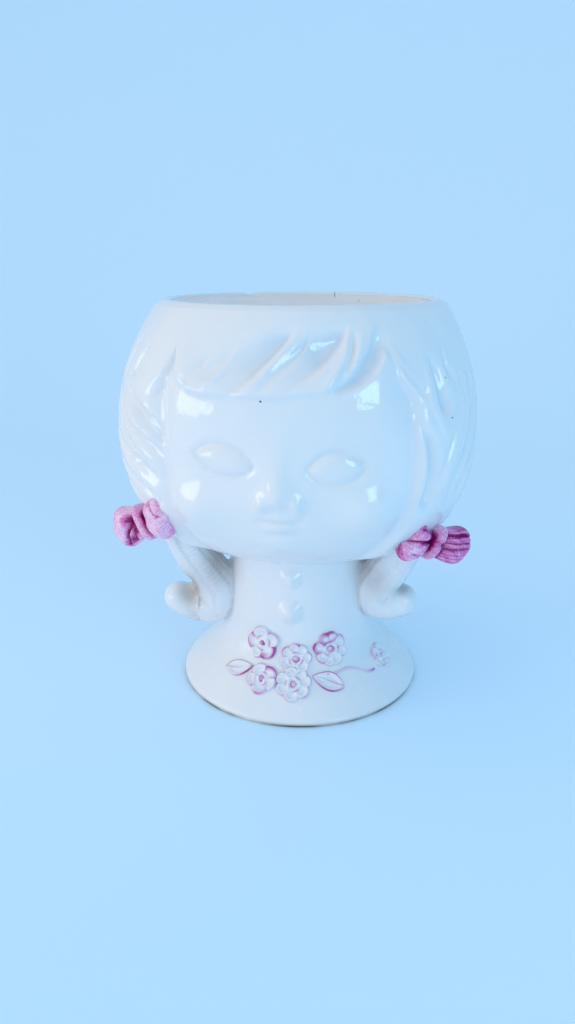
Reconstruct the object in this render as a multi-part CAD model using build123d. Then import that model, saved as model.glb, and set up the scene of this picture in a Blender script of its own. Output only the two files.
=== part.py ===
from build123d import *

import os
from math import atan2, cos, degrees, radians, sin, sqrt

# Head planter: a slip-cast pot in the shape of a child's head with pigtails, on a neck that
# flares to a round foot. Bows, buttons and a flower spray are made apart and luted on with slip.
# Millimetres, +Z up. The face looks along -Y, and the origin is the middle of the foot.

# Whole planter
overall_height = 165.0
joint_height = 65.5
wall = 3.6
lute_gap = 0.2
overrun = 6.0

# Head pot
head_half_width = 69.3
head_half_depth = 66.5
cheek_advance = 10.0
jaw_radius = 33.0
jaw_power = 2.15
rim_radius = 55.2
lip_round = 1.2
equator_share = 0.487
jaw_level_shares = (1.0, 0.97, 0.9, 0.78, 0.6, 0.38, 0.0)
crown_level_shares = (0.32, 0.62, 0.86, 1.0)
past_rim_share = 1.08

# Moulded hair on the head pot, a little fuller on the -X side
hair_relief = 3.3
hair_rim_relief = 1.2
hair_lean = 1.0
hair_hem = 4.0
hairline_round = 3.0

# The hairline round the face, from the left cheek over the temple, the fringe and the parting to
# the right cheek, as shares of the head's half width and of its height above the joint
hairline_shares = (
    (-0.63, 0.53),
    (-0.62, 0.67),
    (-0.55, 0.73),
    (-0.38, 0.69),
    (0.13, 0.69),
    (0.40, 0.73),
    (0.48, 0.82),
    (0.62, 0.68),
    (0.66, 0.53),
)

# Grooves between the main locks of hair: turns from the front and shares of the head's height
groove_radius = 3.4
groove_depth = 2.1
fringe_groove_shares = (
    ((31, 0.92), (29, 0.86), (25, 0.80), (18, 0.72)),
    ((21, 0.92), (18, 0.86), (13, 0.80), (4, 0.72)),
    ((6, 0.93), (1, 0.87), (-2, 0.81), (-8, 0.72)),
    ((-10, 0.89), (-15, 0.83), (-20, 0.77), (-26, 0.71)),
)
left_groove_shares = (
    ((-32, 0.88), (-35, 0.79), (-38, 0.71), (-44, 0.62)),
    ((-50, 0.84), (-60, 0.70), (-50, 0.63), (-38, 0.53)),
    ((-72, 0.76), (-66, 0.56), (-52, 0.48), (-38, 0.41)),
    ((-82, 0.60), (-72, 0.45), (-58, 0.37), (-45, 0.28)),
)
right_groove_shares = (
    ((47, 0.84), (51, 0.78), (53, 0.70), (57, 0.60)),
    ((43, 0.63), (47, 0.54), (49, 0.44), (47, 0.30)),
    ((64, 0.89), (73, 0.73), (69, 0.52), (62, 0.26)),
)
back_groove_shares = (
    ((88, 0.90), (90, 0.70), (84, 0.46), (70, 0.22)),
    ((110, 0.90), (110, 0.66), (101, 0.40), (80, 0.16)),
    ((134, 0.90), (132, 0.60), (118, 0.33), (92, 0.13)),
    ((158, 0.90), (157, 0.54), (140, 0.26), (108, 0.11)),
)
parting_groove_shares = ((180, 0.92), (180, 0.68), (180, 0.42), (180, 0.16))

# Face: the places of an eye, the nose and the lips are shares of the same two sizes
eye_place_shares = (0.29, 0.471)
nose_share = 0.387
lip_share = 0.271
eye_half_width = 10.2
eye_half_height = 6.0
eye_swell = 1.6
nose_half_width = 5.0
nose_half_height = 6.0
nose_reach = 4.2
lip_half_width = 6.5
lip_half_height = 2.2
lip_swell = 1.2

# Neck pedestal
neck_radius = 30.4
knee_radius = 33.8
knee_height = 21.7
flare_round = 28.0
shoulder_radius = 51.2
shoulder_edge = 4.3
foot_radius = 53.0
foot_land = 2.0
foot_round = 1.0
foot_ring_width = 8.0
foot_recess = 2.0
floor_thickness = 5.0

# Pigtails: the root outwards and forwards as shares of the head's half width and depth, then the
# middle, the low point, the start and the tip of the curl as shares of the neck's radius. Heights
# are shares of the joint's height
pigtail_root_half_width = 6.5
pigtail_half_width = 8.4
pigtail_low_half_width = 7.9
pigtail_half_depth = 7.8
curl_radius = 7.7
lock_end_share = 0.9
pigtail_root_shares = {"left": (0.715, -0.30, 1.10), "right": (0.685, -0.30, 1.13)}
pigtail_path_shares = {
    "left": (
        (1.42, -0.51, 0.85),
        (1.22, -0.41, 0.65),
        (1.28, -0.40, 0.515),
        (1.75, -0.41, 0.54),
    ),
    "right": (
        (1.35, -0.51, 0.92),
        (1.20, -0.41, 0.73),
        (1.23, -0.40, 0.63),
        (1.49, -0.41, 0.62),
    ),
}

# Bows: the middle of each lies over the hair, at a turn from the front and a share of the head's height,
# and each bow has a turn and a droop of its own
bow_place_shares = {"left": (54.3, 0.158), "right": (59.0, 0.116)}
bow_lift = 4.2
bow_turns = {"left": 29.0, "right": 37.0}
bow_droops = {"left": 22.0, "right": 12.0}
ribbon_width = 15.5
loop_length = 13.0
loop_depth = 10.0
loop_root_depth = 4.0
ribbon_thickness = 2.6
knot_length = 6.0
knot_depth = 10.5
knot_height = 13.0
knot_round = 1.6

# Buttons on the neck
button_radius = 5.0
button_swell = 2.2
button_height_shares = {"upper": 0.85, "lower": 0.65}

# Flower spray: angle from the front, place along the neck's line, size and turn of each flower
petal_count = 6
flower_radius = 6.5
petal_radius = 2.5
petal_relief = 1.5
bead_radius = 1.5
flower_place_shares = {
    1: (-19.0, 0.580, 1.0, 10.0),
    2: (29.0, 0.605, 1.0, 35.0),
    3: (5.0, 0.655, 0.96, 0.0),
    4: (-14.6, 0.800, 0.94, 20.0),
    5: (4.0, 0.805, 1.0, 45.0),
    6: (67.0, 0.775, 0.9, 5.0),
}
leaf_length = 14.0
leaf_width = 7.0
leaf_relief = 1.1
leaf_place_shares = {"left": (-31.0, 0.770, -160.0), "right": (24.0, 0.805, -18.0)}
tendril_width = 1.6
tendril_relief = 1.0
tendril_place_shares = ((29.5, 0.740), (36.0, 0.720), (44.0, 0.740), (52.0, 0.805))


def head_height(share):
    """A height on the head, by its share of the way from the joint to the rim."""
    return joint_height + share * (overall_height - joint_height)


def girth(height, grow=0.0, rim_grow=0.0, bottom=joint_height):
    """The head at a height: half width, depth in front of and behind its widest line, and swell."""
    sizes = (head_half_width, head_half_depth - cheek_advance, head_half_depth + cheek_advance)
    equator = head_height(equator_share)
    if height < equator:
        drop = (equator - height) / (equator - bottom)
        swell = (1 - drop**jaw_power) ** (1 / jaw_power)
        return *(jaw_radius + grow + (size - jaw_radius) * swell for size in sizes), swell
    rise = (height - equator) / (overall_height - equator)
    rim = rim_radius + rim_grow
    grown = [size + grow for size in sizes]
    return *(sqrt(size**2 - (size**2 - rim**2) * rise**2) for size in grown), 1 - rise**2


def head_level(height, grow, rim_grow, bottom, lean):
    """One level of the head: two half ovals that meet on the widest line."""
    width, front, back, swell = girth(height, grow, rim_grow, bottom)
    middle = (-lean * swell, -cheek_advance * swell)
    halves = [
        EllipticalCenterArc(middle, width, front, start_angle=180, arc_size=180),
        EllipticalCenterArc(middle, width, back, start_angle=0, arc_size=180),
    ]
    return Pos(0, 0, height) * make_face(halves)


def head_form(grow=0.0, rim_grow=None, bottom=None, lean=0.0, top_share=1.0):
    """The head as a solid, grown by an amount: a round jaw, an oval middle and a round rim."""
    rim_grow = grow if rim_grow is None else rim_grow
    bottom = joint_height - grow if bottom is None else bottom
    rises = (*crown_level_shares, top_share) if top_share > 1 else crown_level_shares
    equator = head_height(equator_share)
    heights = [equator - s * (equator - bottom) for s in jaw_level_shares]
    heights += [equator + s * (overall_height - equator) for s in rises]
    return loft([head_level(h, grow, rim_grow, bottom, lean) for h in heights])


def hair_form(gap=0.0, side="right"):
    """The head with its layer of hair, grown by a gap; its left side can be swapped to +X."""
    lean = hair_lean if side == "right" else -hair_lean
    return head_form(hair_relief + gap, hair_rim_relief + gap, joint_height - gap, lean)


def hair_spot(turn, share, lift, lean=hair_lean):
    """A point over the hair, by its turn from the front, its share of the head's height and its lift."""
    height = head_height(share)
    width, front, back, swell = girth(height, hair_relief + lift, hair_rim_relief + lift)
    depth = front if abs(turn) < 90 else back
    x = width * sin(radians(turn)) - lean * swell
    return Vector(x, -cheek_advance * swell - depth * cos(radians(turn)), height)


def hair_groove(line):
    """A round groove along a line on the hair, which fades out at both ends."""
    low = groove_radius - groove_depth
    lifts = (groove_radius, *[low] * (len(line) - 2), groove_radius)
    path = Spline(*[hair_spot(turn, share, lift) for (turn, share), lift in zip(line, lifts)])
    return sweep(Plane(origin=path @ 0, z_dir=path % 0) * Circle(groove_radius), path)


def skin_front(x, height):
    """Where the front of the face lies, in Y, at a place seen from the front."""
    width, front, _, swell = girth(height)
    return -cheek_advance * swell - front * sqrt(1 - (x / width) ** 2)


def ellipsoid(x, y, z, half_width, half_depth, half_height):
    """A swelling with its middle at a point."""
    return Pos(x, y, z) * scale(Sphere(1), by=(half_width, half_depth, half_height))


def face_window():
    """What the hair leaves bare at the front: a fringe above, with a parting, and the cheeks below."""
    line = [(across * head_half_width, head_height(up)) for across, up in hairline_shares]
    below = joint_height - hair_hem - overrun
    feet = [(line[-1][0], below), (line[0][0], below)]
    outline = FilletPolyline(*line, *feet, radius=hairline_round, close=True)
    face = make_face(Plane.XZ * outline)
    return extrude(face, amount=head_half_depth + hair_relief + overrun, dir=(0, -1, 0))


def moulded_hair():
    """The layer of hair round the head, cut back from the face and above the neck."""
    across = head_half_width + head_half_depth
    nape = Pos(0, 0, joint_height - overrun) * Cylinder(
        across, overrun + hair_hem, align=(Align.CENTER, Align.CENTER, Align.MIN)
    )
    back_left = [[(-turn, share) for turn, share in line] for line in back_groove_shares]
    lines = (*fringe_groove_shares, *left_groove_shares, *right_groove_shares, *back_groove_shares)
    grooves = [hair_groove(line) for line in (*lines, *back_left, parting_groove_shares)]
    return hair_form() - nape - face_window() - grooves


def head_pot():
    """The hollow head: face and hair outside, one cavity inside, open at the rim and to the neck."""
    pot = head_form() + moulded_hair()
    across, up = eye_place_shares
    eye_height = head_height(up)
    for side in (-1, 1):
        x = side * across * head_half_width
        y = skin_front(x, eye_height)
        turn = degrees(atan2(x, -y))
        eye = Rot(0, 0, turn) * ellipsoid(0, 0, 0, eye_half_width, eye_swell * 2, eye_half_height)
        pot += Pos(x, y + eye_swell, eye_height) * eye
    nose_height = head_height(nose_share)
    nose_root = skin_front(0, nose_height)
    pot += ellipsoid(0, nose_root, nose_height, nose_half_width, nose_reach, nose_half_height)
    lip_height = head_height(lip_share)
    lip_root = skin_front(0, lip_height)
    pot += ellipsoid(0, lip_root, lip_height, lip_half_width, lip_swell, lip_half_height)
    pot -= head_form(-wall, top_share=past_rim_share)
    throat = Cylinder(neck_radius - wall, 2 * overrun + wall)
    pot -= Pos(0, 0, joint_height) * throat
    rim = pot.edges().filter_by(GeomType.LINE, reverse=True).group_by(Axis.Z)[-1]
    return fillet(rim, lip_round)


def neck_corners(grow=0.0):
    """Corners of the neck's outer line in the XZ plane, moved outwards by an amount."""
    corners = (
        Vector(neck_radius, joint_height),
        Vector(knee_radius, knee_height),
        Vector(shoulder_radius, shoulder_edge),
    )
    top, knee, edge = corners
    side_way, slope_way = ((b - a).normalized().rotate(Axis.Z, 90) for a, b in ((top, knee), (knee, edge)))
    knee_way = (side_way + slope_way) / (1 + side_way.dot(slope_way))
    return [p + way * grow for p, way in zip(corners, (side_way, knee_way, slope_way))]


def neck_line(grow=0.0):
    """The neck's outer line: almost upright, then flared through an arc to the shoulder's slope."""
    return FilletPolyline(*[(p.X, p.Y) for p in neck_corners(grow)], radius=flare_round - grow)


def neck_form(grow=0.0):
    """The neck, shoulders and foot as one solid of revolution, grown outwards by an amount."""
    line = neck_line(grow)
    top, edge = line @ 0, line @ 1
    rest = Polyline(
        (edge.X, edge.Y),
        (foot_radius + grow, foot_land),
        (foot_radius + grow, 0),
        (0, 0),
        (0, top.Y),
        (top.X, top.Y),
    )
    return revolve(make_face(Plane.XZ * Curve([*line.edges(), *rest.edges()])), Axis.Z)


def neck_pedestal():
    """The hollow neck with its floor, open at the top, and a ring under it to stand on."""
    body = neck_form()
    body = fillet(body.edges().filter_by_position(Axis.Z, 0, 0), foot_round)
    line = neck_line(-wall)
    top, edge = line @ 0, line @ 1
    rest = Polyline((edge.X, edge.Y), (0, edge.Y), (0, joint_height + overrun), (top.X, joint_height + overrun))
    lip = Line((top.X, joint_height + overrun), (top.X, top.Y))
    inside = revolve(make_face(Plane.XZ * Curve([*line.edges(), *rest.edges(), *lip.edges()])), Axis.Z)
    floor = Cylinder(foot_radius, foot_recess + floor_thickness, align=(Align.CENTER, Align.CENTER, Align.MIN))
    recess = Cylinder(foot_radius - foot_ring_width, 2 * foot_recess)
    return body - (inside - floor) - recess


def pigtail_form(side, grow=0.0):
    """A pigtail on the +X side as a solid: a lock that hangs down the neck and curls out at its end."""
    out, forward, up = pigtail_root_shares[side]
    root = Vector(out * head_half_width, forward * head_half_depth, up * joint_height)
    *nodes, tip = [
        Vector(out * neck_radius, forward * neck_radius, up * joint_height)
        for out, forward, up in pigtail_path_shares[side]
    ]
    nodes.insert(0, root)
    lock_end = curl_radius * lock_end_share
    widths = (pigtail_root_half_width, pigtail_half_width, pigtail_low_half_width, lock_end)
    depths = (pigtail_half_depth, pigtail_half_depth, pigtail_half_depth, lock_end)
    path = Spline(*nodes)
    rings = []
    for node, width, depth in zip(nodes, widths, depths):
        way = path % path.param_at_point(node)
        across = Plane(origin=node, x_dir=(1, 0, 0), z_dir=way)
        rings.append(across * Ellipse(width + grow, depth + grow))
    start = nodes[-1]
    reach = tip - start
    radius = curl_radius + grow
    half = [
        Line((0, -radius), (0, reach.length + radius)),
        CenterArc((0, reach.length), radius, 0, 90),
        Line((radius, 0), (radius, reach.length)),
        CenterArc((0, 0), radius, -90, 90),
    ]
    curl = revolve(Plane.XZ * make_face(half), Axis.Z)
    return loft(rings) + Plane(origin=start, z_dir=reach) * curl


def pigtail(side):
    """A pigtail on the +X side, shaped to lie against the head and the neck."""
    return pigtail_form(side) - hair_form(lute_gap, side) - neck_form(lute_gap)


def bow_loop():
    """The outer loop of a bow at the origin: a folded ribbon that widens away from the knot."""
    near = knot_length / 2
    far = near + loop_length - loop_depth / 2
    end_radius = loop_depth / 2
    hollow_radius = end_radius - ribbon_thickness
    root = Pos(near, 0) * Circle(loop_root_depth / 2)
    fold = make_hull(root.edges() + (Pos(far, 0) * Circle(end_radius)).edges())
    hollow_root = Pos((near + far) / 2, 0) * Circle(hollow_radius / 2)
    hollow = make_hull(hollow_root.edges() + (Pos(far, 0) * Circle(hollow_radius)).edges())
    loop = extrude(fold - hollow, ribbon_width / 2, both=True)
    gather = knot_height / 2 - knot_round
    spread = ribbon_width / 2
    fan = Polyline(
        (near, -gather),
        (near + loop_length, -spread),
        (near + loop_length, spread),
        (near, gather),
        close=True,
    )
    return loop & extrude(make_face(Plane.XZ * fan), loop_depth, both=True)


def bow_pieces(side):
    """A bow on the +X side: two loops and the knot between them, set on the side of the head."""
    lean = hair_lean if side == "right" else -hair_lean
    seat = Pos(hair_spot(*bow_place_shares[side], bow_lift, lean)) * Rot(0, 0, bow_turns[side]) * Rot(0, bow_droops[side], 0)
    outer = bow_loop()
    knot = Box(knot_length, knot_depth, knot_height)
    stock = {
        "outer_loop": outer,
        "inner_loop": mirror(outer, about=Plane.YZ),
        "knot": fillet(knot.edges(), knot_round),
    }
    behind = hair_form(lute_gap, side) + pigtail_form(side, lute_gap)
    return {name: seat * piece - behind for name, piece in stock.items()}


def shoulder_plane(angle, along):
    """A plane on the neck's surface, by its angle from the front and its place along the line."""
    line = neck_line()
    spot, way = line @ along, line % along
    out = Vector(sin(radians(angle)), -cos(radians(angle)), 0)
    level = Vector(cos(radians(angle)), sin(radians(angle)), 0)
    origin = out * spot.X + Vector(0, 0, spot.Y)
    normal = out * -way.Y + Vector(0, 0, way.X)
    return Plane(origin=origin, x_dir=level, z_dir=normal)


def shoulder_layer(relief):
    """A skin of clay laid on the neck, as thick as a sprig."""
    return neck_form(lute_gap + relief) - neck_form(lute_gap)


def rosette(size, grow=0.0):
    """A flower's outline: petals round a middle."""
    ring = flower_radius * size - petal_radius
    petal = Circle(petal_radius + grow)
    outline = Circle(ring + grow)
    for place in PolarLocations(ring, petal_count):
        outline += place * petal
    return outline


def flowers():
    """The six flowers, each a rosette with a bead in its middle; later ones lie over earlier ones."""
    pieces = {}
    blocks = {}
    layer = shoulder_layer(petal_relief)
    for number, (angle, along, size, turn) in flower_place_shares.items():
        seat = shoulder_plane(angle, along) * Rot(0, 0, turn)
        blocks[number] = seat * extrude(rosette(size, lute_gap), overrun, both=True)
        hole = extrude(Circle(bead_radius + lute_gap), overrun, both=True)
        pieces[f"flower_{number}"] = layer & (seat * (extrude(rosette(size), overrun, both=True) - hole))
        bead = Pos(0, 0, petal_relief) * Sphere(bead_radius) + Cylinder(bead_radius, 2 * petal_relief)
        pieces[f"flower_{number}_centre"] = seat * bead - neck_form(lute_gap)
    for number in flower_place_shares:
        for later in flower_place_shares:
            if later > number:
                pieces[f"flower_{number}"] -= blocks[later]
    return pieces, blocks


def leaf(angle, along, turn):
    """A pointed leaf laid on the shoulder."""
    half = leaf_length / 2
    bulge = leaf_width / 2
    edges = [ThreePointArc((-half, 0), (0, side * bulge), (half, 0)) for side in (-1, 1)]
    stock = extrude(make_face(edges), overrun, both=True)
    return shoulder_layer(leaf_relief) & (shoulder_plane(angle, along) * Rot(0, 0, turn) * stock)


def tendril():
    """A thin stem that wanders across the shoulder."""
    layer = shoulder_layer(tendril_relief)
    stem = None
    for start, end in zip(tendril_place_shares, tendril_place_shares[1:]):
        first, last = (shoulder_plane(*place) for place in (start, end))
        reach = last.origin - first.origin
        seat = Plane(origin=first.origin, x_dir=reach, z_dir=reach.cross(first.z_dir.cross(reach)))
        bar = SlotCenterToCenter(reach.length, tendril_width)
        run = seat * Pos(reach.length / 2, 0) * extrude(bar, overrun / 2, both=True)
        stem = run if stem is None else stem + run
    return layer & stem


def button(height):
    """A low dome on the front of the neck."""
    dome = ellipsoid(0, 0, 0, button_radius, button_swell, button_radius)
    drop = (joint_height - height) / (joint_height - knee_height)
    front = neck_radius + (knee_radius - neck_radius) * drop
    return Pos(0, -front, height) * dome - neck_form(lute_gap)


def save(name, piece):
    """Write one named piece."""
    solids = piece.solids()
    print(name, len(solids), round(piece.volume, 1), piece.is_valid)
    export_step(piece, f"parts/{name}.step")


os.makedirs("parts", exist_ok=True)
save("head_pot", head_pot())
save("neck_pedestal", neck_pedestal())
for side in ("left", "right"):
    pieces = {f"pigtail_{side}": pigtail(side)}
    pieces |= {f"bow_{side}_{name}": piece for name, piece in bow_pieces(side).items()}
    for name, piece in pieces.items():
        save(name, piece if side == "right" else mirror(piece, about=Plane.YZ))
for name, share in button_height_shares.items():
    save(f"button_{name}", button(share * joint_height))
spray, covers = flowers()
for name, place in leaf_place_shares.items():
    spray[f"leaf_{name}"] = leaf(*place) - list(covers.values())
spray["tendril"] = tendril() - list(covers.values())
for name, piece in spray.items():
    save(name, piece)
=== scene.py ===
# %% [markdown]
# # A glazed head planter
# The planter is a small white pot in the shape of a child's head with pigtails, standing on a neck that
# flares to a round foot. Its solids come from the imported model, which is the fixed frame here. Each solid
# is dressed with a finer mesh of its own and a glaze made of shader nodes.

# %% Load the frame
import math

import bpy
import numpy as np
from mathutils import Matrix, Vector


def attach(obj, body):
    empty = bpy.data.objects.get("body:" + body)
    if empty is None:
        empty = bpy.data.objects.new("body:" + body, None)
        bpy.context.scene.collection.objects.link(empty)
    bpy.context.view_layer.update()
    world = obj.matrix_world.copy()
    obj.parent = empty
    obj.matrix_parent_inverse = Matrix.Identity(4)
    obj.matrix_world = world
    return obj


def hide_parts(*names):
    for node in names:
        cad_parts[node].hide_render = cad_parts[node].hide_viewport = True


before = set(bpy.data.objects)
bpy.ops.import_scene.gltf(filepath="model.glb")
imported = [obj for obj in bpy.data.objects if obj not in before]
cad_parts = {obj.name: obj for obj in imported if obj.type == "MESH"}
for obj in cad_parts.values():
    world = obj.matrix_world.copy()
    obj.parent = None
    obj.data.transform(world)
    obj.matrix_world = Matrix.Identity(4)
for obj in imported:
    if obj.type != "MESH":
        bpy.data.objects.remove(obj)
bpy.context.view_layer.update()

MM = 0.001

# %% [markdown]
# ## Small helpers
# An operator works on whatever is selected, so each step first clears the selection and picks its own
# piece. Points are read and written as one array in millimetres, which is how a potter would measure.
# `fade` is a soft step between two values, `bell` a soft hill on a line, and `bump` a soft hill on a
# surface.


# %% Helpers for picking a piece and moving its points
def pick(piece):
    if bpy.context.object and bpy.context.object.mode != "OBJECT":
        bpy.ops.object.mode_set(mode="OBJECT")
    bpy.ops.object.select_all(action="DESELECT")
    piece.select_set(True)
    bpy.context.view_layer.objects.active = piece


def fresh(name):
    piece = bpy.context.object
    piece.name = name
    piece.data.name = name
    return piece


def read(piece, what):
    flat = np.zeros(len(piece.data.vertices) * 3)
    piece.data.vertices.foreach_get(what, flat)
    return flat.reshape(-1, 3)


def points_of(piece):
    return read(piece, "co") / MM


def move_points(piece, points):
    piece.data.vertices.foreach_set("co", (np.asarray(points) * MM).ravel())
    piece.data.update()


def paint(piece, name, values):
    layer = piece.data.attributes.new(name, "FLOAT", "POINT")
    layer.data.foreach_set("value", np.clip(values, 0, 1).astype(np.float32))


def on_whole_mesh(step, **values):
    bpy.ops.object.mode_set(mode="EDIT")
    bpy.ops.mesh.select_all(action="SELECT")
    step(**values)
    bpy.ops.object.mode_set(mode="OBJECT")


def settle(piece, slot, *nodes):
    pick(piece)
    bpy.ops.object.transform_apply(location=True, rotation=True, scale=True)
    on_whole_mesh(bpy.ops.mesh.normals_make_consistent, inside=False)
    bpy.ops.object.shade_smooth()
    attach(piece, "root")
    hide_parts(*nodes)
    print(piece.name, "faces:", len(piece.data.polygons))


def select_edges(piece, test):
    for edge in piece.data.edges:
        edge.select = all(test(piece.data.vertices[i].co) for i in edge.vertices)


def fade(low, high, value):
    share = np.clip((value - low) / (high - low), 0, 1)
    return share * share * (3 - 2 * share)


def bell(value, wide):
    return np.exp(-((value / wide) ** 2))


def bump(across, up, wide, tall):
    return np.exp(-((across / wide) ** 2) - (up / tall) ** 2)


# %% [markdown]
# ## Camera and stage
# The camera stands where the photograph was taken from: close, a little above the rim and a little to the
# right. The floor is one pale sheet that sweeps up behind the pot, so no edge shows.

# %% Camera
bpy.ops.object.camera_add(
    location=(0.041, -0.3115, 0.180),
    rotation=(math.radians(71.39), 0, math.radians(8.54)),
)
camera = bpy.context.object
camera.data.sensor_width = 36
camera.data.lens = 26.58
camera.data.clip_start = 0.01
bpy.context.scene.camera = camera
print("camera at", tuple(camera.location))

# %% Floor that sweeps up at the back
bpy.ops.object.select_all(action="DESELECT")
bpy.ops.mesh.primitive_plane_add(size=4, location=(0, -0.9, 0))
floor = fresh("pale_floor")
bpy.ops.object.mode_set(mode="EDIT")
bpy.ops.mesh.select_mode(type="EDGE")
bpy.ops.mesh.select_all(action="DESELECT")
bpy.ops.object.mode_set(mode="OBJECT")
select_edges(floor, lambda co: co.y > 1)
bpy.ops.object.mode_set(mode="EDIT")
bpy.ops.mesh.extrude_region_move(TRANSFORM_OT_translate={"value": (0, 0, 1.6)})
bpy.ops.object.mode_set(mode="OBJECT")
select_edges(floor, lambda co: co.y > 1 and abs(co.z) < 0.01)
bpy.ops.object.mode_set(mode="EDIT")
bpy.ops.mesh.bevel(offset=0.7, segments=24)
bpy.ops.object.mode_set(mode="OBJECT")
bpy.ops.object.transform_apply(location=True, rotation=True, scale=True)
bpy.ops.object.shade_smooth()
print("floor faces:", len(floor.data.polygons))

# %% [markdown]
# ## The head's form
# The head is oval from above and pulls in to a round rim. Its jaw is a rounded curve, and the cheeks lie
# further forward than the rim. The same few sizes give any point of the skin, of the hair that lies over
# it, and of the hollow inside, so the wall keeps its thickness everywhere.

# %% Sizes of the head, in millimetres
HEIGHT = 165.0
JOINT = 65.5
EQUATOR = 113.96
HALF_WIDTH = 69.3
FRONT_DEPTH = 56.5
BACK_DEPTH = 76.5
CHEEK_ADVANCE = 10.0
JAW_RADIUS = 33.0
JAW_POWER = 2.15
RIM_RADIUS = 55.2
WALL = 3.6
THROAT = 26.8
HAIR_RELIEF = 3.3
HAIR_RIM_RELIEF = 1.2
HAIR_LEAN = 1.0


def girth(height, grow, rim_grow, bottom=JOINT):
    drop = np.clip((EQUATOR - height) / (EQUATOR - bottom), 0, 1)
    rise = np.clip((height - EQUATOR) / (HEIGHT - EQUATOR), 0, 1)
    jaw = (1 - drop**JAW_POWER) ** (1 / JAW_POWER)
    rim = RIM_RADIUS + rim_grow
    sizes = []
    for size in (HALF_WIDTH, FRONT_DEPTH, BACK_DEPTH):
        low = JAW_RADIUS + grow + (size - JAW_RADIUS) * jaw
        high = np.sqrt((size + grow) ** 2 - ((size + grow) ** 2 - rim**2) * rise**2)
        sizes.append(np.where(height < EQUATOR, low, high))
    swell = np.where(height < EQUATOR, jaw, 1 - rise**2)
    return *sizes, swell


def on_head(turn, height, grow, rim_grow, lean=0.0, bottom=JOINT):
    width, front, back, swell = girth(height, grow, rim_grow, bottom)
    depth = np.where(np.cos(turn) > 0, front, back)
    x = -lean * swell + width * np.sin(turn)
    y = -CHEEK_ADVANCE * swell - depth * np.cos(turn)
    return np.stack([x, y, height + 0 * x], axis=-1)


# %% [markdown]
# ## Locks of hair
# The hair is moulded with the head. It is a smooth layer with soft ridges and grooves rather than single
# strands. A sculptor would draw each one as a line and press or pile clay along it, steeper on one side
# than on the other. Here a line is a short row of points, given as degrees round the head from the front
# and height in millimetres, followed by its width on the left and right hand of someone walking down it
# and its height as a share of the hair's thickness. A negative height is a groove. A line swells up from
# its upper end and dies away at its lower end, from a share of its length that is smaller for the fringe,
# so that the tips of the fringe stay soft.

# %% Lines of the fringe
FRINGE = [
    ([(8, 161), (4, 156), (-2, 149), (-8, 142), (-16, 133)], 1.6, 9.0, -1.35),
    ([(4, 153), (-2.5, 143.5), (-9, 135)], 2.2, 1.8, 0.22),
    ([(11, 157), (8, 152), (3, 146), (-6, 136)], 1.5, 2.6, -0.5),
    ([(24, 162), (21, 157), (18, 152), (12, 146), (2, 137)], 1.7, 10.5, -1.7),
    ([(22, 160), (21, 149), (16, 140), (12, 134)], 2.2, 2.2, 0.4),
    ([(25, 160), (22.5, 149), (16, 137)], 1.8, 1.8, -0.7),
    ([(28, 160), (24.6, 151), (19.5, 141)], 2.2, 1.8, 0.25),
    ([(34, 162), (29, 150), (23, 141), (13, 134)], 9.0, 2.6, -1.7),
    ([(-10, 152), (-19, 143)], 1.6, 1.6, 0.22),
    ([(-12, 146), (-22, 137)], 1.6, 1.6, 0.22),
    ([(-11, 152), (-24, 138)], 1.5, 4.0, -0.45),
    ([(-18, 153), (-25, 143), (-31, 135)], 1.5, 3.0, -0.4),
]
NOTCH = [(-34.5, 150), (-41.5, 133.5), (-33.6, 138)]

# %% Lines of the sides
LEFT_SIDE = [
    ([(-48, 154), (-54, 144), (-57, 138)], 1.8, 1.8, -0.38),
    ([(-58, 154), (-64, 144), (-68, 136)], 1.8, 2.4, -0.48),
    ([(-62, 138), (-50, 130), (-42, 124), (-36, 117)], 2.2, 5.0, -0.83),
    ([(-58, 132), (-48, 125), (-40, 118), (-36, 114)], 1.4, 1.6, -0.34),
    ([(-72, 136), (-62, 127), (-52, 121), (-43, 115), (-37, 110)], 2.0, 4.0, -0.72),
    ([(-70, 128), (-58, 118), (-48, 111), (-39, 105)], 1.4, 1.6, -0.34),
    ([(-80, 130), (-68, 117), (-56, 111), (-46, 106), (-38, 101)], 2.0, 4.0, -0.72),
    ([(-86, 122), (-72, 108), (-58, 101), (-47, 96), (-40, 92)], 2.0, 4.0, -0.72),
    ([(-84, 108), (-70, 98), (-57, 92), (-48, 88)], 2.0, 3.0, -0.62),
    ([(-66, 133), (-54, 126), (-45, 120)], 2.4, 2.0, 0.28),
    ([(-76, 124), (-62, 114), (-50, 108)], 2.4, 2.0, 0.28),
    ([(-80, 114), (-66, 105), (-54, 99)], 2.4, 2.0, 0.21),
]
RIGHT_SIDE = [
    ([(34, 156), (38, 147), (42, 138), (46, 131)], 2.4, 4.0, 0.41),
    ([(36, 150), (41, 141), (47, 133)], 1.8, 1.8, -0.41),
    ([(49, 150), (52, 142), (53, 135), (56, 127)], 4.6, 2.0, -1.11),
    ([(47, 150), (48, 140), (49, 132), (54, 124), (57, 117)], 1.8, 1.8, 0.45),
    ([(43, 127), (47, 120), (49, 110), (49, 100), (48, 92)], 4.4, 2.0, -1.02),
    ([(40, 132), (43, 126), (45, 117), (45, 104), (43, 92)], 1.8, 2.6, 0.33),
    ([(61, 153), (63, 141), (65, 131), (62, 121), (57, 109), (54, 95)], 2.6, 2.0, 0.41),
    ([(66, 153), (72, 140), (74, 128), (69, 116), (63, 104), (60, 90)], 3.6, 2.0, -0.93),
    ([(57, 152), (58, 144), (61, 138)], 1.6, 1.6, -0.57),
    ([(78, 148), (84, 134), (82, 120), (73, 106), (65, 92)], 2.0, 3.0, -0.73),
    ([(60, 124), (56, 113), (53, 100)], 1.6, 1.8, -0.32),
]

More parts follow.
